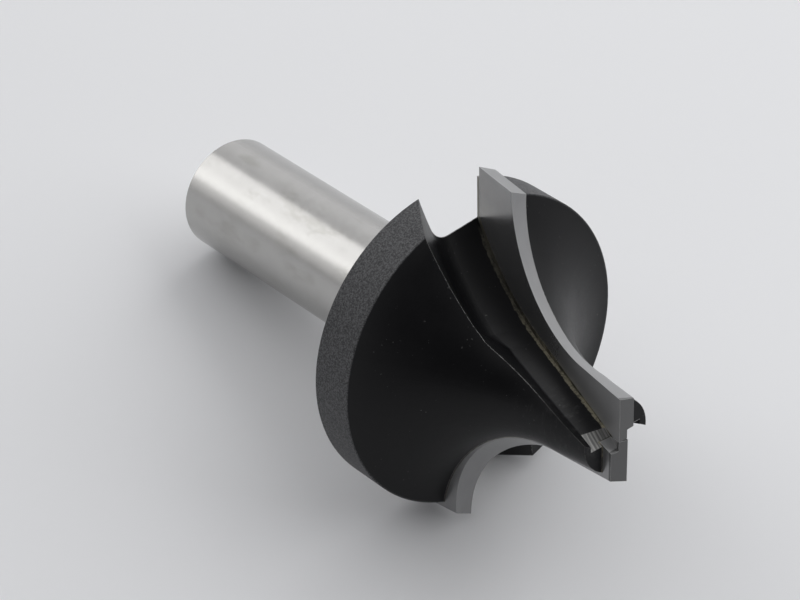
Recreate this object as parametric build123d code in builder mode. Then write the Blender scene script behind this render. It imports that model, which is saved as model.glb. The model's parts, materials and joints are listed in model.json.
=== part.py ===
from build123d import *
import os
from math import cos, radians, sin, tan

os.makedirs("parts", exist_ok=True)

# Two-wing round-over router bit.  It is drawn about its own axis: Z runs from the shank
# end to the cutting nose, Z = 0 is the front of the rim, X points along wing 1.
# The finished solids are turned over at the end, to lie as the bit rests on a bench.

# ---- shank and turned body --------------------------------------------------------------
shank_diameter = 12.0
shank_end_z = -42.0
shank_end_chamfer = 0.8
head_diameter = 32.5
head_back_z = -4.8
head_root_fillet = 2.0
neck_radius = 4.2
neck_start_z = 14.5
nose_radius = 3.75
nose_z = 19.65

# ---- carbide tips: heights and reaches are measured on the rake face ---------------------
tip_thickness = 1.8
tip_back_height = -4.35
rim_reach = 17.2
rim_corner_height = 1.65
neck_reach = 4.67
neck_corner_height = 14.75
round_over_radius = 12.8
end_reach = 4.62
end_height = 21.07
relieved_rim_reach = 16.4
relieved_rim_corner_height = 1.4
relieved_neck_reach = 3.6
relieved_neck_corner_height = 13.5
relieved_radius = 11.8
relieved_end_reach = 4.0
relieved_end_height = 20.6
braze_line_width = 0.5
braze_thickness = 0.15
tip_overreach = 6.0

# ---- rake face: the flat front of a tip, sheared forward toward the nose -----------------
rake_behind_axis = 2.78
shear_angle = 9.0
rake_lean = 2.7

# ---- root line: where the gullet floor meets the rake face -------------------------------
root_angle = 14.9
root_bend_reach = 3.24
root_bend_height = 7.7
root_bend_radius = 23.2
root_bend_sweep = 60.0
root_run_past_nose = 18.0

# ---- gullet in front of each tip: wide and steep at the rim, narrow and open at the nose --
rim_gullet_width = 4.95
rim_gullet_wall_lean = 31.5
rim_gullet_height = 20.0
rim_gullet_corner_radius = 2.4
rim_gullet_end_swing = 8.0
nose_gullet_width = 3.2
nose_gullet_end_width = 2.5
nose_gullet_wall_lean = 56.0
nose_gullet_height = 6.0
nose_gullet_corner_radius = 0.5
nose_gullet_start_swing = 3.0

# ---- gash that brings the end cutting edges to the middle of the nose ---------------------
gash_start_run = 11.3
gash_angle = 30.0
gash_length = 5.0
gash_width = 2.6
gash_height = 6.0
tip_centre_reach = 0.01
tip_centre_height = 19.9

# ---- resting attitude on a flat bench ----------------------------------------------------
underside_angle = 191.41
axis_rise = 15.67

rake_plane = Plane.XZ.offset(rake_behind_axis).rotated((-shear_angle, 0, rake_lean))
forward = -rake_plane.z_dir
wings = (0, 180)


def on_root_arc(swing, outset=0.0):
    """Point of the rake plane, swing degrees back from the bend along the root arc."""
    bearing = radians(180 + root_angle + swing)
    centre_reach = root_bend_reach + root_bend_radius * cos(radians(root_angle))
    centre_height = root_bend_height + root_bend_radius * sin(radians(root_angle))
    reach = centre_reach + (root_bend_radius - outset) * cos(bearing)
    height = centre_height + (root_bend_radius - outset) * sin(bearing)
    return (reach, height)


def on_root_run(run, outset=0.0):
    """Point of the rake plane, run millimetres past the bend toward the nose."""
    lean = radians(root_angle)
    reach = root_bend_reach - run * sin(lean) + outset * cos(lean)
    height = root_bend_height + run * cos(lean) + outset * sin(lean)
    return (reach, height)


def across(path, position):
    """Plane across a milling path, X away from the axis and Y forward of the rake face."""
    heading = path.line % position
    return Plane(path.line @ position, x_dir=forward.cross(heading), z_dir=heading)


# ---- turned blank: shank, rim, hollow flank and neck in one piece ------------------------
with BuildPart() as blank:
    with BuildSketch(Plane.XZ):
        with BuildLine():
            shank_radius = shank_diameter / 2
            head_radius = head_diameter / 2
            cove_run = head_radius - neck_radius
            cove_radius = (cove_run**2 + neck_start_z**2) / (2 * cove_run)
            Polyline(
                (0, nose_z),
                (0, shank_end_z),
                (shank_radius, shank_end_z),
                (shank_radius, head_back_z),
                (head_radius, head_back_z),
                (head_radius, 0),
            )
            RadiusArc((head_radius, 0), (neck_radius, neck_start_z), cove_radius)
            Polyline((neck_radius, neck_start_z), (nose_radius, nose_z), (0, nose_z))
        make_face()
    revolve(axis=Axis.Z)
    rings = blank.edges().filter_by(GeomType.CIRCLE)
    at_head_back = rings.filter_by_position(Axis.Z, head_back_z, head_back_z)
    fillet(at_head_back.sort_by(SortBy.RADIUS)[0], head_root_fillet)
    rings = blank.edges().filter_by(GeomType.CIRCLE)
    chamfer(rings.filter_by_position(Axis.Z, shank_end_z, shank_end_z), shank_end_chamfer)


def gullet_section(plane, width, wall_lean, height, corner_radius):
    """Gullet section: rake face, floor, rounded corner, leaning trailing wall, open top."""
    top_width = width + height * tan(radians(wall_lean))
    with BuildSketch(plane) as section:
        with BuildLine():
            Polyline((0, 0), (0, width), (height, top_width), (height, 0), close=True)
        make_face()
        floor_corner = section.vertices().sort_by_distance((0, width, 0))[0]
        fillet(floor_corner, corner_radius)
    return section.sketch


def rim_section(plane, height):
    """Section that the rim pass leaves, up to a height above the floor."""
    return gullet_section(
        plane, rim_gullet_width, rim_gullet_wall_lean, height, rim_gullet_corner_radius
    )


def nose_section(plane, width):
    """Section that the nose pass leaves, with a floor of that width."""
    return gullet_section(
        plane, width, nose_gullet_wall_lean, nose_gullet_height, nose_gullet_corner_radius
    )


# ---- gullet: swept in through the rim, blended into the pass along the neck ---------------
with BuildPart() as gullet:
    with BuildLine(rake_plane) as rim_pass:
        ThreePointArc(
            on_root_arc(root_bend_sweep),
            on_root_arc((root_bend_sweep + rim_gullet_end_swing) / 2),
            on_root_arc(rim_gullet_end_swing),
        )
    sweep(rim_section(across(rim_pass, 0), rim_gullet_height), path=rim_pass.line)
    with BuildLine(rake_plane) as bend_pass:
        Line(on_root_arc(nose_gullet_start_swing), on_root_arc(0))
    with BuildLine(rake_plane) as neck_pass:
        Line(on_root_run(0), on_root_run(root_run_past_nose))
    blend_start = rim_section(across(rim_pass, 1), nose_gullet_height)
    blend_end = nose_section(across(bend_pass, 0), nose_gullet_width)
    neck_start = nose_section(across(neck_pass, 0), nose_gullet_width)
    neck_end = nose_section(across(neck_pass, 1), nose_gullet_end_width)
    loft([blend_start, blend_end], ruled=True)
    loft([blend_end, neck_start], ruled=True)
    loft([neck_start, neck_end], ruled=True)

# ---- gash: a wedge ground down the gullet floor at the nose, behind the other tip --------
with BuildPart() as gash:
    with BuildLine(rake_plane) as gash_pass:
        gash_start = on_root_run(gash_start_run)
        gash_end = (
            gash_start[0] - gash_length * sin(radians(gash_angle)),
            gash_start[1] + gash_length * cos(radians(gash_angle)),
        )
        Line(gash_start, gash_end)
    with BuildSketch(across(gash_pass, 0)):
        Rectangle(gash_height, gash_width, align=(Align.MIN, Align.MIN))
    extrude(amount=gash_length)

# ---- seat behind the rake face, which a tip and its braze fill ---------------------------
def beyond(inner_edge):
    """Face of the rake plane from an inner edge, listed toward the nose, out past the rim."""
    far_reach = rim_reach + tip_overreach
    swing_end = inner_edge[0]
    with BuildSketch(rake_plane) as region:
        with BuildLine():
            ThreePointArc(*inner_edge[:3])
            Polyline(
                *inner_edge[2:],
                (far_reach, end_height + tip_overreach),
                (far_reach, swing_end[1]),
                swing_end,
            )
        make_face()
    return region.sketch


root_line = (
    on_root_arc(root_bend_sweep),
    on_root_arc(root_bend_sweep / 2),
    on_root_arc(0),
    on_root_run(root_run_past_nose),
)
tip_inner_edge = (
    on_root_arc(root_bend_sweep, braze_line_width),
    on_root_arc(root_bend_sweep / 2, braze_line_width),
    on_root_arc(0, braze_line_width),
    (tip_centre_reach, tip_centre_height),
    (tip_centre_reach, end_height + tip_overreach),
)

with BuildPart() as seat:
    extrude(beyond(root_line), amount=tip_thickness + braze_thickness)

# ---- carbide tip 1: ground to the round-over profile, relieved behind every edge ---------
def ground_outline(plane, rim_corner, neck_corner, end_corner, radius):
    """Tip outline on one plane: rim land, concave arc, neck land and square end."""
    rim_back = (rim_corner[0], tip_back_height)
    inner_end = (-tip_overreach, end_corner[1])
    inner_back = (-tip_overreach, tip_back_height)
    with BuildSketch(plane) as outline:
        with BuildLine():
            RadiusArc(rim_corner, neck_corner, radius)
            Polyline(neck_corner, end_corner, inner_end, inner_back, rim_back, rim_corner)
        make_face()
    return outline.sketch


cutting_outline = ground_outline(
    rake_plane,
    (rim_reach, rim_corner_height),
    (neck_reach, neck_corner_height),
    (end_reach, end_height),
    round_over_radius,
)
relieved_outline = ground_outline(
    rake_plane.offset(tip_thickness),
    (relieved_rim_reach, relieved_rim_corner_height),
    (relieved_neck_reach, relieved_neck_corner_height),
    (relieved_end_reach, relieved_end_height),
    relieved_radius,
)

with BuildPart() as carbide_tip_1:
    loft([cutting_outline, relieved_outline], ruled=True)
    extrude(beyond(tip_inner_edge), amount=tip_thickness, both=True, mode=Mode.INTERSECT)
    for turn in wings:
        add(gash.part, rotation=(0, 0, turn), mode=Mode.SUBTRACT)

# ---- steel body: the blank less both gullets, seats and gashes --------------------------
with BuildPart() as cutter_body:
    add(blank.part)
    for turn in wings:
        for cut in (gullet, seat, gash):
            add(cut.part, rotation=(0, 0, turn), mode=Mode.SUBTRACT)

# ---- braze: what is left of a seat around its tip, trimmed to the turned surface ----------
with BuildPart() as braze_seam_1:
    add(seat.part)
    add(blank.part, mode=Mode.INTERSECT)
    add(carbide_tip_1.part, mode=Mode.SUBTRACT)
    for turn in wings:
        add(gash.part, rotation=(0, 0, turn), mode=Mode.SUBTRACT)

with BuildPart() as carbide_tip_2:
    add(carbide_tip_1.part, rotation=(0, 0, 180))

with BuildPart() as braze_seam_2:
    add(braze_seam_1.part, rotation=(0, 0, 180))

# ---- resting on the bench: the shank end, a rim corner and a tip corner touch it ----------
nodes = (cutter_body, carbide_tip_1, carbide_tip_2, braze_seam_1, braze_seam_2)
turned_over = Rot(0, 90 - axis_rise, 0) * Rot(0, 0, -underside_angle)
for node in nodes:
    node.part.move(turned_over)
whole = Compound([node.part for node in nodes]).bounding_box()
onto_bench = Pos(-whole.center().X, -whole.center().Y, -whole.min.Z)
for node in nodes:
    node.part.move(onto_bench)

cutter_body.part.label = "cutter_body"
carbide_tip_1.part.label = "carbide_tip_1"
carbide_tip_2.part.label = "carbide_tip_2"
braze_seam_1.part.label = "braze_seam_1"
braze_seam_2.part.label = "braze_seam_2"
export_step(cutter_body.part, "parts/cutter_body.step")
export_step(carbide_tip_1.part, "parts/carbide_tip_1.step")
export_step(carbide_tip_2.part, "parts/carbide_tip_2.step")
export_step(braze_seam_1.part, "parts/braze_seam_1.step")
export_step(braze_seam_2.part, "parts/braze_seam_2.step")
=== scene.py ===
"""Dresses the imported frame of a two-wing round-over router bit and lights it on a pale bench."""

import json
import logging
from dataclasses import dataclass, field
from enum import Enum
from math import atan2, cos, pi, radians, sin

import bpy
from mathutils import Euler, Matrix, Quaternion, Vector

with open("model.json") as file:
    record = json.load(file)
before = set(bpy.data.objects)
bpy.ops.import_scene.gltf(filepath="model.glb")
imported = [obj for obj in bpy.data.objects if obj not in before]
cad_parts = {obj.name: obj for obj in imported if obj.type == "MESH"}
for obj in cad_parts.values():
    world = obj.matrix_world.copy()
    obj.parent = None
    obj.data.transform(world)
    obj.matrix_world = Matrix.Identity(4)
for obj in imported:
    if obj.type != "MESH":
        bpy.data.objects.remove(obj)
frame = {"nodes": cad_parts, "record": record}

MM = 0.001
LOG = logging.getLogger("router_bit")
BEVEL_SAMPLES = 6
# Share of an edge mask's full turn at which it starts to show.
EDGE_FADE = 0.3
# Depth of a relief of 1 on the turned body.
RELIEF_MM = 0.01

Colour = tuple[float, float, float]
Triple = tuple[float, float, float]
Rows = tuple[Triple, Triple, Triple]
# Values at which a mask leaves 0 and reaches 1; it falls where the second is the lower.
Span = tuple[float, float]


class Wing(Enum):
    """The two cutting wings, by the sign that the half turn gives to a place across the axis."""

    FIRST = 1.0
    SECOND = -1.0


# ---- shader graph -----------------------------------------------------------------------
class Socket:
    """A shader node's output, with Python's operators standing for Math nodes."""

    def __init__(self, graph: "Graph", output: bpy.types.NodeSocket) -> None:
        """Wraps one output of a node in that graph."""
        self.graph = graph
        self.output = output

    def _math(self, operation: str, *values: "Socket | float") -> "Socket":
        """Adds one Math node of that operation on those values."""
        return self.graph.node("ShaderNodeMath", {"operation": operation}, dict(enumerate(values)))

    def __add__(self, other: "Socket | float") -> "Socket":
        """Sum."""
        return self._math("ADD", self, other)

    __radd__ = __add__

    def __sub__(self, other: "Socket | float") -> "Socket":
        """Difference."""
        return self._math("SUBTRACT", self, other)

    def __rsub__(self, other: float) -> "Socket":
        """Difference from a plain number."""
        return self._math("SUBTRACT", other, self)

    def __mul__(self, other: "Socket | float") -> "Socket":
        """Product."""
        return self._math("MULTIPLY", self, other)

    __rmul__ = __mul__

    def __pow__(self, power: float) -> "Socket":
        """Power."""
        return self._math("POWER", self, power)

    def absolute(self) -> "Socket":
        """Size without its sign."""
        return self._math("ABSOLUTE", self)

    def largest(self, other: "Socket | float") -> "Socket":
        """The larger of the two."""
        return self._math("MAXIMUM", self, other)

    def root(self) -> "Socket":
        """Square root."""
        return self._math("SQRT", self)

    def swing(self, width: float) -> "Socket":
        """Change about zero, of that whole width, as a noise runs from 0 to 1."""
        return (self - 0.5) * width

    def rise(self, start: float, end: float) -> "Socket":
        """Smooth step from 0 at start to 1 at end.

        Args:
            start: Value at which the step leaves 0.
            end: Value at which it reaches 1; below start, the step falls.

        Returns:
            A mask from 0 to 1.
        """
        low, high, first, last = (start, end, 0.0, 1.0) if start < end else (end, start, 1.0, 0.0)
        values = {"Value": self, "From Min": low, "From Max": high, "To Min": first, "To Max": last}
        return self.graph.node("ShaderNodeMapRange", {"interpolation_type": "SMOOTHSTEP"}, values)

    def band(self, low: float, high: float, soft: float) -> "Socket":
        """Mask that is 1 between two values and fades outside them over a soft margin."""
        return self.rise(low - soft, low) * self.rise(high + soft, high)


def stretch(x: float, y: float, z: float) -> Rows:
    """Rows that scale a place along its own axes."""
    return (x, 0.0, 0.0), (0.0, y, 0.0), (0.0, 0.0, z)


@dataclass(frozen=True)
class Pattern:
    """One noise over a surface.

    Scale is in features per unit of the place, which is a millimetre on the bit. Detail is in
    levels, and rough is the strength of the fine ones. Rows, where given, stretch or slant the
    place first, so that the noise runs in lines.
    """

    scale: float
    detail: float = 2.0
    rough: float = 0.5
    rows: Rows | None = None


class Graph:
    """Node graph of one material or of the world."""

    def __init__(self, owner: bpy.types.Material | bpy.types.World) -> None:
        """Empties the owner's node tree and takes it over.

        Args:
            owner: The material or the world.
        """
        self.owner = owner
        owner.use_nodes = True
        self.tree = owner.node_tree
        self.tree.nodes.clear()

    @classmethod
    def material(cls, name: str) -> "Graph":
        """Graph of a new material of that name."""
        return cls(bpy.data.materials.new(name))

    def node(
        self,
        kind: str,
        settings: dict[str, object],
        inputs: dict[str | int, object],
        output: str | int = 0,
    ) -> Socket | None:
        """Adds a node.

        Args:
            kind: The node's type.
            settings: Its properties, set before its sockets.
            inputs: Values or links, by socket name or number.
            output: The output to return, by name or number.

        Returns:
            The wrapped output, or None for a node that ends the graph.
        """
        made = self.tree.nodes.new(kind)
        for name, value in settings.items():
            setattr(made, name, value)
        for name, value in inputs.items():
            if isinstance(value, Socket):
                self.tree.links.new(value.output, made.inputs[name])
            else:
                made.inputs[name].default_value = value
        return Socket(self, made.outputs[output]) if made.outputs else None

    def mix(self, mask: Socket, first: Socket | Colour, second: Socket | Colour) -> Socket:
        """Blends two colours.

        Args:
            mask: Share of the second colour.
            first: Colour where the mask is 0.
            second: Colour where the mask is 1.

        Returns:
            The blended colour.
        """
        first = first if isinstance(first, Socket) else (*first, 1.0)
        second = second if isinstance(second, Socket) else (*second, 1.0)
        inputs = {0: mask, 6: first, 7: second}
        return self.node("ShaderNodeMix", {"data_type": "RGBA"}, inputs, output=2)

    def dot(self, first: Socket, second: Socket | Vector) -> Socket:
        """Dot product of two vectors."""
        inputs = {0: first, 1: second}
        return self.node("ShaderNodeVectorMath", {"operation": "DOT_PRODUCT"}, inputs, "Value")

    def split(self, vector: Socket) -> list[Socket]:
        """The three numbers of a vector."""
        inputs = {"Vector": vector}
        return [self.node("ShaderNodeSeparateXYZ", {}, inputs, output=i) for i in range(3)]

    def point(self, x: Socket | float, y: Socket | float, z: Socket | float) -> Socket:
        """Vector from three numbers."""
        return self.node("ShaderNodeCombineXYZ", {}, {0: x, 1: y, 2: z})

    @staticmethod
    def weighted(parts: list[Socket], weights: Triple) -> Socket | float:
        """Sum of the parts, each times its weight, without those of weight 0."""
        terms = [part * weight for part, weight in zip(parts, weights) if weight]
        return sum(terms[1:], terms[0]) if terms else 0.0

    def noise(self, place: Socket, pattern: Pattern) -> Socket:
        """Noise of a pattern over a place.

        Args:
            place: Where on the surface, as a vector.
            pattern: The noise, and the rows that slant its place.

        Returns:
            The noise, from 0 to 1.
        """
        if pattern.rows is not None:
            parts = self.split(place)
            place = self.point(*(self.weighted(parts, row) for row in pattern.rows))
        inputs = {"Scale": pattern.scale, "Detail": pattern.detail, "Roughness": pattern.rough}
        return self.node("ShaderNodeTexNoise", {}, {"Vector": place, **inputs})

    def bump(self, height: Socket, depth_mm: float, normal: Socket | None = None) -> Socket:
        """Surface normal of a relief.

        Args:
            height: Relief, where 1 is the full depth.
            depth_mm: Depth of that relief in millimetres.
            normal: Normal that the relief starts from.

        Returns:
            The bumped normal.
        """
        inputs = {"Strength": 1.0, "Distance": depth_mm * MM, "Height": height}
        if normal is not None:
            inputs["Normal"] = normal
        return self.node("ShaderNodeBump", {}, inputs)

    def rounded_normal(self, radius_mm: float) -> Socket:
        """Normal softened over sharp edges, as by a broken edge of that radius."""
        return self.node("ShaderNodeBevel", {"samples": BEVEL_SAMPLES}, {"Radius": radius_mm * MM})

    def edge_mask(self, radius_mm: float, turn: float) -> Socket:
        """Mask of the sharp convex or concave edges, within a radius of them.

        Args:
            radius_mm: Reach of the mask either side of an edge.
            turn: Turn of the normal, as one minus its cosine, at which the mask is full.

        Returns:
            A mask from 0 to 1.
        """
        true = self.node("ShaderNodeNewGeometry", {}, {}, output="Normal")
        turned = 1.0 - self.dot(self.rounded_normal(radius_mm), true)
        return turned.rise(turn * EDGE_FADE, turn)

    def surface(self, inputs: dict[str | int, object]) -> bpy.types.Material:
        """Ends the graph in a Principled surface.

        Args:
            inputs: Values or links of its sockets.

        Returns:
            The graph's material.
        """
        shader = self.node("ShaderNodeBsdfPrincipled", {}, inputs)
        self.node("ShaderNodeOutputMaterial", {}, {"Surface": shader})
        return self.owner


@dataclass(frozen=True)
class Marks:
    """Scattered marks: a noise, the span of its values over which they rise, and a strength."""

    pattern: Pattern
    span: Span
    strength: float = 1.0

    def mask(self, graph: Graph, place: Socket) -> Socket:
        """Mask of the marks, from 0 to their strength."""
        return graph.noise(place, self.pattern).rise(*self.span) * self.strength


# ---- the bit's own coordinates ----------------------------------------------------------
@dataclass(frozen=True)
class ToolAxis:
    """The bit's axis as it lies, and shader coordinates about it in millimetres.

    Along the axis, zero is the front of the rim and plus is toward the nose; X points along
    wing 1's rake face.
    """

    mount: dict = field(default_factory=lambda: frame["record"]["mounts"][0])
    mount_along_mm: float = -24.0
    underside_deg: float = 191.41

    @property
    def direction(self) -> Vector:
        """Unit vector from the shank end to the nose."""
        return -Vector(self.mount["axis"]).normalized()

    @property
    def origin(self) -> Vector:
        """Axis point at the front of the rim, in metres."""
        return Vector(self.mount["pos_m"]) - self.direction * self.mount_along_mm * MM

    @property
    def turn(self) -> Euler:
        """Rotation that carries the row's axes onto the bit's own.

        Returns:
            The rotation, about Y and then Z.
        """
        tip = self.direction
        from_upright = atan2(tip.x, tip.z)
        return Euler((0.0, -from_upright, radians(self.underside_deg)), "XYZ")

    def place(self, graph: Graph) -> Socket:
        """Shader point in the bit's own axes.

        Args:
            graph: The material's graph.

        Returns:
            The point, in millimetres.
        """
        shift = -(self.turn.to_matrix() @ self.origin) / MM
        row = graph.node("ShaderNodeTexCoord", {}, {}, output="Object")
        inputs = {"Vector": row, "Location": shift, "Rotation": self.turn, "Scale": (1 / MM,) * 3}
        return graph.node("ShaderNodeMapping", {"vector_type": "POINT"}, inputs)


@dataclass(frozen=True)
class RakeFrame:
    """Rake face of a wing: a plane behind the axis, sheared along it and leaned across it."""

    behind_axis_mm: float = 2.78
    shear_deg: float = 9.0
    lean_deg: float = 2.7

    @property
    def basis(self) -> Matrix:
        """Axes of the rake face.

        Returns:
            Columns outward, up the rake face, and forward of it.
        """
        upright = Matrix(((1, 0, 0), (0, 0, 1), (0, 1, 0)))
        shear = Matrix.Rotation(radians(-self.shear_deg), 3, "X")
        return shear @ Matrix.Rotation(radians(self.lean_deg), 3, "Z") @ upright

    def coordinates(self, graph: Graph, place: Socket, wing: Wing) -> list[Socket]:
        """Shader coordinates on a wing's rake face.

        Args:
            graph: The material's graph.
            place: Point in the bit's own axes.
            wing: The wing whose face is meant.

        Returns:
            Millimetres outward from the axis, up the face, and forward of it.
        """
        parts = graph.split(place)
        found = []
        for line in self.basis.col:
            weights = (line.x * wing.value, line.y * wing.value, line.z)
            found.append(graph.weighted(parts, weights) + line.y * self.behind_axis_mm)
        return found


# ---- finishes ---------------------------------------------------------------------------
@dataclass(frozen=True)
class Layer:
    """What one finish gives to the body: colour, roughness, relief, and how much is bare metal."""

    colour: Socket
    roughness: Socket
    relief: Socket
    metal: Socket | float = 1.0


@dataclass(frozen=True)
class GroundSteel:
    """Bright shank steel, ground round the axis, with faint blotches and stains."""

    colour: Colour = (0.50, 0.492, 0.480)
    dark_colour: Colour = (0.37, 0.366, 0.355)
    stain_colour: Colour = (0.33, 0.325, 0.300)
    roughness: float = 0.22
    lines: Pattern = Pattern(1.0, 3.0, 0.65, stretch(0.25, 0.25, 14.0))
    line_share: float = 0.30
    line_roughness: float = 0.08
    line_depth_mm: float = 0.004
    blotches: Pattern = Pattern(0.42, 6.0, 0.68)
    blotch_roughness: float = 0.12
    stains: Marks = Marks(Pattern(0.9, 4.0, 0.6, stretch(0.5, 0.5, 0.22)), (0.52, 0.75), 0.5)

    def layer(self, graph: Graph, place: Socket) -> Layer:
        """The steel's layer at a place.

        Args:
            graph: The material's graph.
            place: Point in the bit's own axes.

        Returns:
            The layer.
        """
        lines = graph.noise(place, self.lines)
        blotch = graph.noise(place, self.blotches)
        tone = lines * self.line_share + blotch * (1.0 - self.line_share)
        colour = graph.mix(tone, self.dark_colour, self.colour)
        colour = graph.mix(self.stains.mask(graph, place), colour, self.stain_colour)
        rough = self.roughness + lines.swing(self.line_roughness)
        rough = rough + blotch.swing(self.blotch_roughness)
        return Layer(colour, rough, lines * (self.line_depth_mm / RELIEF_MM))


@dataclass(frozen=True)
class BlackCoat:
    """Satin black baked coating with a fine grain, coarse on the rim, worn along its edges, where
    the pale colour is also a painted highlight.
    """

    colour: Colour = (0.0022, 0.0022, 0.0028)
    light_colour: Colour = (0.0075, 0.0075, 0.0085)
    rim_colour: Colour = (0.036, 0.036, 0.038)
    rim_speckle_colour: Colour = (0.118, 0.119, 0.123)
    # Pale metal of the edges, partly worn coat and partly a painted highlight; the specks,
    # scratches and scuffs take it too.
    worn_and_highlight_colour: Colour = (0.42, 0.42, 0.41)
    worn_and_highlight_share: float = 0.8
    worn_and_highlight_metal: float = 0.6
    specular: float = 0.19
    roughness: float = 0.38
    rim_roughness: float = 0.20
    rim_radius_mm: Span = (16.05, 16.2)
    grain: Pattern = Pattern(1.0 / 0.18, 3.0, 0.7)
    grain_share: float = 0.5
    grain_roughness: float = 0.22
    grain_depth_mm: float = 0.008
    # Share of the grain's depth everywhere but on the rim, where it is full.
    grain_off_rim: float = 0.55
    clouds: Pattern = Pattern(0.35, 4.0, 0.55)
    cloud_roughness: float = 0.12
    rim_speckle_span: Span = (0.38, 0.64)
    specks: Marks = Marks(Pattern(3.4, 1.0), (0.735, 0.75), 0.16)
    speck_patches: Marks = Marks(Pattern(0.4), (0.50, 0.64))
    scratches: Marks = Marks(
        Pattern(1.2, 4.0, 0.7, ((0.9, 0.5, 0.0), (0.0, 2.4, -1.3), (0.8, 0.0, 1.9))),
        (0.762, 0.775),
        0.22,
    )
    scuffs: Marks = Marks(Pattern(1.0, 5.0, 0.7, stretch(0.7, 0.7, 1.8)), (0.50, 0.78), 0.10)
    scuffed_along_mm: Span = (9.0, 16.0)
    # Reach and turn of the edge mask that carries both the wear and the painted highlight.
    edge_mm: float = 0.12
    edge_turn: float = 0.10
    edge_patches: Marks = Marks(Pattern(2.5), (0.25, 0.6))
    # Share of the edges' wear and painted highlight that is missing at the rim and toward the nose.
    spared_radius_mm: Span = (15.5, 16.0)
    spared_at_rim: float = 0.85
    spared_along_mm: Span = (11.0, 15.0)
    spared_at_nose: float = 0.75

    def edge_wear_and_highlight(self, graph: Graph, place: Socket, radius: Socket, along: Socket) -> Socket:
        """Mask of the coat's worn edges, which also carries a painted highlight along them.

        Args:
            graph: The material's graph.
            place: Point in the bit's own axes.
            radius: Its distance from the axis.
            along: Its place along the axis.

        Returns:
            The mask, from 0 to 1.
        """
        edge = graph.edge_mask(self.edge_mm, self.edge_turn) * self.edge_patches.mask(graph, place)
        edge = edge * (1.0 - radius.rise(*self.spared_radius_mm) * self.spared_at_rim)
        return edge * (1.0 - along.rise(*self.spared_along_mm) * self.spared_at_nose)

    def marks(self, graph: Graph, place: Socket, along: Socket) -> Socket:
        """Mask of the specks, scratches and scuffs.

        Args:
            graph: The material's graph.
            place: Point in the bit's own axes.
            along: Its place along the axis.

        Returns:
            The mask, from 0 to the strongest mark.
        """
        specks = self.specks.mask(graph, place) * self.speck_patches.mask(graph, place)
        scuffs = self.scuffs.mask(graph, place) * along.rise(*self.scuffed_along_mm)
        return specks.largest(self.scratches.mask(graph, place)).largest(scuffs)

    def layer(self, graph: Graph, place: Socket, radius: Socket, along: Socket) -> Layer:
        """The coat's layer at a place.

        Args:
            graph: The material's graph.
            place: Point in the bit's own axes.
            radius: Its distance from the axis.
            along: Its place along the axis.

        Returns:
            The layer.
        """
        rim = radius.rise(*self.rim_radius_mm)
        grain = graph.noise(place, self.grain)
        cloud = graph.noise(place, self.clouds)
        tone = grain * self.grain_share + cloud * (1.0 - self.grain_share)
        colour = graph.mix(tone, self.colour, self.light_colour)
        speckle = grain.rise(*self.rim_speckle_span)
        speckled = graph.mix(speckle, self.rim_colour, self.rim_speckle_colour)
        colour = graph.mix(rim, colour, speckled)
        edge = self.edge_wear_and_highlight(graph, place, radius, along)
        # The edges' pale colour is partly wear and partly a painted highlight.
        worn = edge.largest(self.marks(graph, place, along))
        colour = graph.mix(worn * self.worn_and_highlight_share, colour, self.worn_and_highlight_colour)
        rough = self.roughness + grain.swing(self.grain_roughness)
        rough = rough + cloud.swing(self.cloud_roughness) + rim * self.rim_roughness
        depth = self.grain_off_rim + rim * (1.0 - self.grain_off_rim)
        relief = grain * depth * (self.grain_depth_mm / RELIEF_MM)
        return Layer(colour, rough, relief, edge * self.worn_and_highlight_metal)


@dataclass(frozen=True)
class Gash:
    """Notch ground through the coat at the nose, ahead of each tip's end edge."""

    reach_mm: float = 0.334
    height_mm: float = 18.62
    angle_deg: float = 30.0
    width_mm: float = 2.6
    skin_mm: float = 0.04
    skin_fade_mm: float = 0.02
    edge_fade_mm: float = 0.04
    colour: Colour = (0.34, 0.335, 0.325)
    dark_colour: Colour = (0.15, 0.15, 0.148)
    stripes: Pattern = Pattern(1.0, 2.0, 0.5, stretch(5.0, 0.15, 0.0))
    stripe_span: Span = (0.38, 0.62)
    stripe_relief: float = 1.2

    def mask(self, graph: Graph, place: Socket, rake: RakeFrame) -> tuple[Socket, Socket]:
        """Mask of both gashes, and the place across their grinding lines.

        Args:
            graph: The material's graph.
            place: Point in the bit's own axes.
            rake: The rake face that the gashes start from.

        Returns:
            The mask from 0 to 1, and millimetres across the lines.
        """
        lean = radians(self.angle_deg)
        masks, across = [], []
        for wing in Wing:
            outward, up, forward = rake.coordinates(graph, place, wing)
            reach = outward - self.reach_mm
            height = up - self.height_mm
            run = height * cos(lean) - reach * sin(lean)
            lift = reach * cos(lean) + height * sin(lean)
            floor = lift.band(-self.skin_mm, self.skin_mm, self.skin_fade_mm)
            floor = floor * run.rise(-self.edge_fade_mm, 0.0)
            masks.append(floor * forward.band(0.0, self.width_mm, self.edge_fade_mm))
            across.append(forward)
        return masks[0].largest(masks[1]), across[0].absolute()


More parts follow.
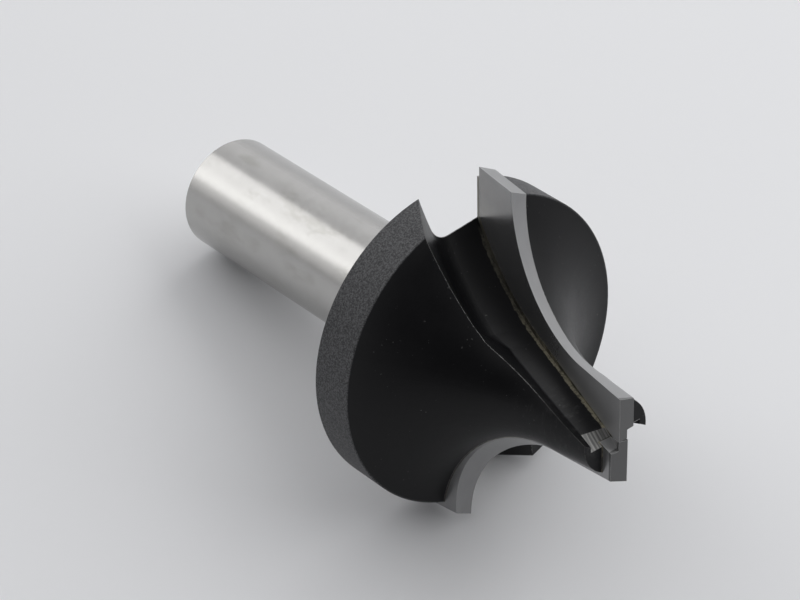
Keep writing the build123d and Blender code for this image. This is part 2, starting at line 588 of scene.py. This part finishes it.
@dataclass(frozen=True)
class Spill:
    """Ragged line of braze that has run onto the gullet floor beside each tip."""

    width_mm: float = 0.52
    edge: Pattern = Pattern(1.8, 3.0)
    start_fade_mm: Span = (-0.02, 0.0)
    edge_fade_mm: Span = (0.12, 0.04)
    axis_fade_mm: Span = (0.0, 0.3)
    rim_fade_mm: Span = (-4.4, -3.6)
    nose_fade_mm: Span = (19.6, 19.2)
    cover: Marks = Marks(Pattern(2.2, 4.0, 0.7), (0.35, 0.6), 0.65)
    least_cover: float = 0.35
    share: float = 0.9

    def mask(self, graph: Graph, place: Socket, along: Socket, rake: RakeFrame) -> Socket:
        """Mask of the braze that has run.

        Args:
            graph: The material's graph.
            place: Point in the bit's own axes.
            along: Its place along the axis.
            rake: The rake face that the line starts from.

        Returns:
            The mask, from 0 to 1.
        """
        ragged = graph.noise(place, self.edge) * self.width_mm
        masks = []
        for wing in Wing:
            outward, _, forward = rake.coordinates(graph, place, wing)
            line = forward.rise(*self.start_fade_mm) * (forward - ragged).rise(*self.edge_fade_mm)
            masks.append(line * outward.rise(*self.axis_fade_mm))
        reach = masks[0].largest(masks[1]) * along.rise(*self.rim_fade_mm)
        reach = reach * along.rise(*self.nose_fade_mm)
        return reach * (self.least_cover + self.cover.mask(graph, place))


@dataclass(frozen=True)
class Braze:
    """Brass-coloured brazing alloy, sooty at the rim and wiped brighter toward the nose."""

    colour: Colour = (0.34, 0.315, 0.235)
    sooty_colour: Colour = (0.110, 0.104, 0.084)
    groove_colour: Colour = (0.045, 0.042, 0.034)
    ledge_colour: Colour = (0.24, 0.235, 0.215)
    metallic: float = 0.45
    bright_along_mm: Span = (0.0, 9.0)
    # The ledge of alloy behind the tip's back edge, toward the shank.
    ledge_along_mm: Span = (-4.35, -4.40)

    def tone(self, graph: Graph, along: Socket) -> Socket:
        """Colour of the alloy at a place along the bit."""
        line = graph.mix(along.rise(*self.bright_along_mm), self.sooty_colour, self.colour)
        return graph.mix(along.rise(*self.ledge_along_mm), line, self.ledge_colour)


@dataclass(frozen=True)
class BodyFinish:
    """One finish for the turned body: bare shank, coated head, ground gashes and run braze."""

    axis: ToolAxis
    rake: RakeFrame
    steel: GroundSteel = GroundSteel()
    coat: BlackCoat = BlackCoat()
    gash: Gash = Gash()
    spill: Spill = Spill()
    braze: Braze = Braze()
    coat_start_mm: float = -6.7
    coat_fade_mm: float = 0.25
    coat_edge: Pattern = Pattern(1.3)
    coat_edge_mm: float = 0.5
    edge_radius_mm: float = 0.06

    def material(self) -> bpy.types.Material:
        """Builds the material.

        Returns:
            The material.
        """
        graph = Graph.material("cutter_body_finish")
        place = self.axis.place(graph)
        x, y, along = graph.split(place)
        radius = (x * x + y * y).root()
        ragged = graph.noise(place, self.coat_edge) * self.coat_edge_mm
        start = self.coat_start_mm
        coated = (along + ragged).rise(start, start + self.coat_fade_mm)
        bare = 1.0 - coated

        steel = self.steel.layer(graph, place)
        coat = self.coat.layer(graph, place, radius, along)
        gash, across = self.gash.mask(graph, place, self.rake)
        stripes = graph.noise(graph.point(across, along, 0.0), self.gash.stripes)
        stripe_mask = stripes.rise(*self.gash.stripe_span)
        gash_colour = graph.mix(stripe_mask, self.gash.dark_colour, self.gash.colour)
        spill = self.spill.mask(graph, place, along, self.rake)

        colour = graph.mix(coated, steel.colour, coat.colour)
        colour = graph.mix(spill * self.spill.share, colour, self.braze.tone(graph, along))
        colour = graph.mix(gash, colour, gash_colour)
        metal = (bare * steel.metal).largest(gash).largest(coat.metal)
        relief = coat.relief * coated + steel.relief * bare
        relief = relief + stripes * gash * self.gash.stripe_relief
        return graph.surface(
            {
                "Base Color": colour,
                "Metallic": metal.largest(spill * self.braze.metallic),
                "Roughness": steel.roughness * bare + coat.roughness * coated,
                "Normal": graph.bump(relief, RELIEF_MM, graph.rounded_normal(self.edge_radius_mm)),
                "Specular IOR Level": self.coat.specular,
            }
        )


@dataclass(frozen=True)
class CarbideFinish:
    """Ground tungsten carbide: a lapped rake face, and lands with fine grinding lines."""

    axis: ToolAxis
    rake: RakeFrame
    wing: Wing
    colour: Colour = (0.24, 0.24, 0.242)
    light_colour: Colour = (0.36, 0.36, 0.363)
    # Painted shade: the tips' end faces are given this darker colour for the shade that falls on
    # them.
    end_shade_colour: Colour = (0.12, 0.12, 0.12)
    # Pale colour of the painted highlight along the tips' sharp edges.
    edge_highlight_colour: Colour = (0.62, 0.62, 0.61)
    rake_skin_mm: Span = (-0.03, -0.01)
    lap_lines: Pattern = Pattern(1.0, 3.0, 0.6, ((1.2, 0.5, 0.0), (-6.0, 14.0, 0.0), (0.0,) * 3))
    land_lines: Pattern = Pattern(1.0, 3.0, 0.6, stretch(0.7, 0.7, 22.0))
    line_share: float = 0.5
    line_roughness: float = 0.10
    line_depth_mm: float = 0.0012
    clouds: Pattern = Pattern(0.5, 4.0)
    cloud_roughness: float = 0.06
    rake_roughness: float = 0.24
    land_roughness: float = 0.33
    # Place along the axis where the painted shade of the end faces begins.
    end_along_mm: Span = (20.35, 20.41)
    # Painted highlight: the reach and turn of the sharp edges that get the pale colour, its patches
    # and its share.
    edge_highlight_mm: float = 0.05
    edge_highlight_turn: float = 0.12
    edge_highlight_patches: Marks = Marks(Pattern(1.7, 3.0), (0.2, 0.6))
    edge_highlight_share: float = 0.7
    metallic: float = 0.80
    # The rake face turns satin toward the nose.
    satin_along_mm: Span = (7.0, 15.0)
    satin_roughness: float = 0.12
    satin_dulling: float = 0.45
    edge_radius_mm: float = 0.03

    def material(self) -> bpy.types.Material:
        """Builds the material.

        Returns:
            The material.
        """
        graph = Graph.material(f"carbide_finish_{self.wing.name.lower()}")
        place = self.axis.place(graph)
        along = graph.split(place)[2]
        outward, up, forward = self.rake.coordinates(graph, place, self.wing)
        face = graph.point(outward, up, forward)
        on_rake = forward.rise(*self.rake_skin_mm)
        off_rake = 1.0 - on_rake
        lap = graph.noise(face, self.lap_lines)
        lines = lap * on_rake + graph.noise(face, self.land_lines) * off_rake
        cloud = graph.noise(place, self.clouds)

        tone = lines * self.line_share + cloud * (1.0 - self.line_share)
        colour = graph.mix(tone, self.colour, self.light_colour)
        # Painted shade on the tips' end faces.
        colour = graph.mix(along.rise(*self.end_along_mm) * off_rake, colour, self.end_shade_colour)
        # Painted highlight: the sharp edges are mixed toward a pale colour, in patches.
        edge_highlight = graph.edge_mask(self.edge_highlight_mm, self.edge_highlight_turn)
        edge_highlight = edge_highlight * self.edge_highlight_patches.mask(graph, place)
        colour = graph.mix(edge_highlight * self.edge_highlight_share, colour, self.edge_highlight_colour)

        satin = on_rake * along.rise(*self.satin_along_mm)
        rough = self.land_roughness + (self.rake_roughness - self.land_roughness) * on_rake
        rough = rough + lines.swing(self.line_roughness) + cloud.swing(self.cloud_roughness)
        normal = graph.rounded_normal(self.edge_radius_mm)
        return graph.surface(
            {
                "Base Color": colour,
                "Metallic": self.metallic - satin * self.satin_dulling,
                "Roughness": rough + satin * self.satin_roughness,
                "Normal": graph.bump(lines, self.line_depth_mm, normal),
            }
        )


@dataclass(frozen=True)
class BrazeFinish:
    """The seam itself: the same alloy, sunk in a dark groove along the tip."""

    axis: ToolAxis
    braze: Braze = Braze()
    groove_along_mm: Span = (-1.0, 1.0)
    wiped: Marks = Marks(Pattern(1.1, 3.0), (0.42, 0.66), 0.7)
    lumps: Pattern = Pattern(2.2, 4.0, 0.6)
    lump_depth_mm: float = 0.04
    lump_roughness: float = 0.25
    roughness: float = 0.36

    def material(self) -> bpy.types.Material:
        """Builds the material.

        Returns:
            The material.
        """
        graph = Graph.material("braze_finish")
        place = self.axis.place(graph)
        along = graph.split(place)[2]
        lumps = graph.noise(place, self.lumps)
        groove = along.rise(*self.groove_along_mm) * (1.0 - self.wiped.mask(graph, place))
        tone = self.braze.tone(graph, along)
        return graph.surface(
            {
                "Base Color": graph.mix(groove, tone, self.braze.groove_colour),
                "Metallic": self.braze.metallic,
                "Roughness": self.roughness + lumps * self.lump_roughness,
                "Normal": graph.bump(lumps, self.lump_depth_mm),
            }
        )


# ---- sub-assemblies ---------------------------------------------------------------------
def dress(node: str, material: bpy.types.Material) -> None:
    """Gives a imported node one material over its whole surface.

    Args:
        node: Name of the node.
        material: The material.
    """
    target = frame["nodes"][node]
    target.data.materials.clear()
    target.data.materials.append(material)
    LOG.info("dressed %s with %s", node, material.name)


@dataclass
class Cutter:
    """The whole bit: turned body, two carbide tips and their braze seams."""

    axis: ToolAxis = field(default_factory=ToolAxis)
    rake: RakeFrame = field(default_factory=RakeFrame)

    def build(self) -> None:
        """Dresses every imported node."""
        dress("cutter_body", BodyFinish(self.axis, self.rake).material())
        braze = BrazeFinish(self.axis).material()
        for number, wing in enumerate(Wing, start=1):
            dress(f"carbide_tip_{number}", CarbideFinish(self.axis, self.rake, wing).material())
            dress(f"braze_seam_{number}", braze)


@dataclass
class Bench:
    """Pale matt surface that the bit lies on."""

    width_mm: float = 4000.0
    colour: Colour = (0.80, 0.805, 0.82)
    fibre_colour: Colour = (0.86, 0.865, 0.88)
    fibre_share: float = 0.1
    fibres_per_metre: float = 900.0
    roughness: float = 0.8

    def build(self) -> None:
        """Adds the surface."""
        bpy.ops.object.select_all(action="DESELECT")
        bpy.ops.mesh.primitive_plane_add(size=self.width_mm * MM, location=(0.0, 0.0, 0.0))
        bench = bpy.context.object
        bench.name = "bench"
        graph = Graph.material("bench_paper")
        row = graph.node("ShaderNodeTexCoord", {}, {}, output="Object")
        fibres = graph.noise(row, Pattern(self.fibres_per_metre, 3.0))
        colour = graph.mix(fibres * self.fibre_share, self.colour, self.fibre_colour)
        inputs = {"Base Color": colour, "Roughness": self.roughness}
        bench.data.materials.append(graph.surface(inputs))
        LOG.info("added the bench")


def toward(bearing_deg: float, height_deg: float) -> Vector:
    """Unit vector at a bearing from +X toward +Y and a height over the bench."""
    bearing, height = radians(bearing_deg), radians(height_deg)
    return Vector((cos(bearing) * cos(height), sin(bearing) * cos(height), sin(height)))


@dataclass(frozen=True)
class SoftBox:
    """One soft studio lamp, placed by its bearing and height as the bit sees it.

    Its brightness is that of its face, where 1 is white.
    """

    name: str
    bearing_deg: float
    height_deg: float
    distance_mm: float
    width_mm: float
    length_mm: float
    brightness: float

    def build(self) -> None:
        """Adds the lamp, facing the bit."""
        data = bpy.data.lights.new(self.name, "AREA")
        data.shape = "RECTANGLE"
        data.size = self.width_mm * MM
        data.size_y = self.length_mm * MM
        data.energy = self.brightness * pi * data.size * data.size_y
        lamp = bpy.data.objects.new(self.name, data)
        bpy.context.scene.collection.objects.link(lamp)
        away = toward(self.bearing_deg, self.height_deg)
        lamp.location = away * self.distance_mm * MM
        lamp.rotation_mode = "QUATERNION"
        lamp.rotation_quaternion = (-away).to_track_quat("-Z", "Y")
        lamp.visible_camera = False
        LOG.info("added the lamp %s", self.name)


@dataclass(frozen=True)
class Glow:
    """Soft bright part of the surroundings; a larger spread makes it narrower."""

    bearing_deg: float
    height_deg: float
    spread: float
    colour: Colour

    def mask(self, graph: Graph, ray: Socket) -> Socket:
        """How far a direction lies in the glow, from 0 to 1."""
        facing = graph.dot(ray, toward(self.bearing_deg, self.height_deg)).largest(0.0)
        return facing ** self.spread


@dataclass(frozen=True)
class Surroundings:
    """Pale screen behind the bench and a bright one to its side, in a dark room."""

    room: Colour = (0.11, 0.11, 0.115)
    back: Glow = Glow(bearing_deg=140.0, height_deg=8.0, spread=2.2, colour=(1.02, 1.025, 1.04))
    side: Glow = Glow(bearing_deg=-150.0, height_deg=12.0, spread=16.0, colour=(1.25, 1.25, 1.25))

    def build(self) -> None:
        """Adds the world."""
        world = bpy.data.worlds.new("studio_screen")
        bpy.context.scene.world = world
        graph = Graph(world)
        ray = graph.node("ShaderNodeTexCoord", {}, {}, output="Generated")
        colour = graph.mix(self.back.mask(graph, ray), self.room, self.back.colour)
        colour = graph.mix(self.side.mask(graph, ray), colour, self.side.colour)
        shader = graph.node("ShaderNodeBackground", {}, {"Color": colour, "Strength": 1.0})
        graph.node("ShaderNodeOutputWorld", {}, {"Surface": shader})
        LOG.info("added the surroundings")


@dataclass
class Studio:
    """The surroundings, the soft lamps and the camera."""

    surroundings: Surroundings = Surroundings()
    camera_mm: Triple = (161.935, -143.930, 255.595)
    view_direction: Triple = (-0.502599, 0.441597, -0.743227)
    camera_roll_deg: float = 3.118
    lens_mm: float = 148.153
    lamps: tuple[SoftBox, ...] = (
        SoftBox(
            name="top_box",
            bearing_deg=150.0,
            height_deg=78.0,
            distance_mm=650.0,
            width_mm=1100.0,
            length_mm=1100.0,
            brightness=0.60,
        ),
        SoftBox(
            name="left_box",
            bearing_deg=-165.5,
            height_deg=26.0,
            distance_mm=600.0,
            width_mm=400.0,
            length_mm=300.0,
            brightness=1.15,
        ),
        SoftBox(
            name="right_box",
            bearing_deg=76.0,
            height_deg=38.0,
            distance_mm=520.0,
            width_mm=900.0,
            length_mm=560.0,
            brightness=1.20,
        ),
    )

    def build(self) -> None:
        """Adds the world, the lamps and the camera."""
        scene = bpy.context.scene
        self.surroundings.build()
        for lamp in self.lamps:
            lamp.build()
        data = bpy.data.cameras.new("camera")
        data.lens = self.lens_mm
        camera = bpy.data.objects.new("camera", data)
        scene.collection.objects.link(camera)
        camera.location = Vector(self.camera_mm) * MM
        camera.rotation_mode = "QUATERNION"
        level = Vector(self.view_direction).to_track_quat("-Z", "Y")
        roll = Quaternion((0.0, 0.0, 1.0), radians(self.camera_roll_deg))
        camera.rotation_quaternion = level @ roll
        scene.camera = camera
        scene.view_settings.view_transform = "Standard"
        LOG.info("placed the camera")


def main() -> None:
    """Builds the bit and its studio."""
    logging.basicConfig(level=logging.INFO)
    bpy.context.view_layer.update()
    for piece in (Cutter(), Bench(), Studio()):
        piece.build()


if __name__ == "__main__":
    main()
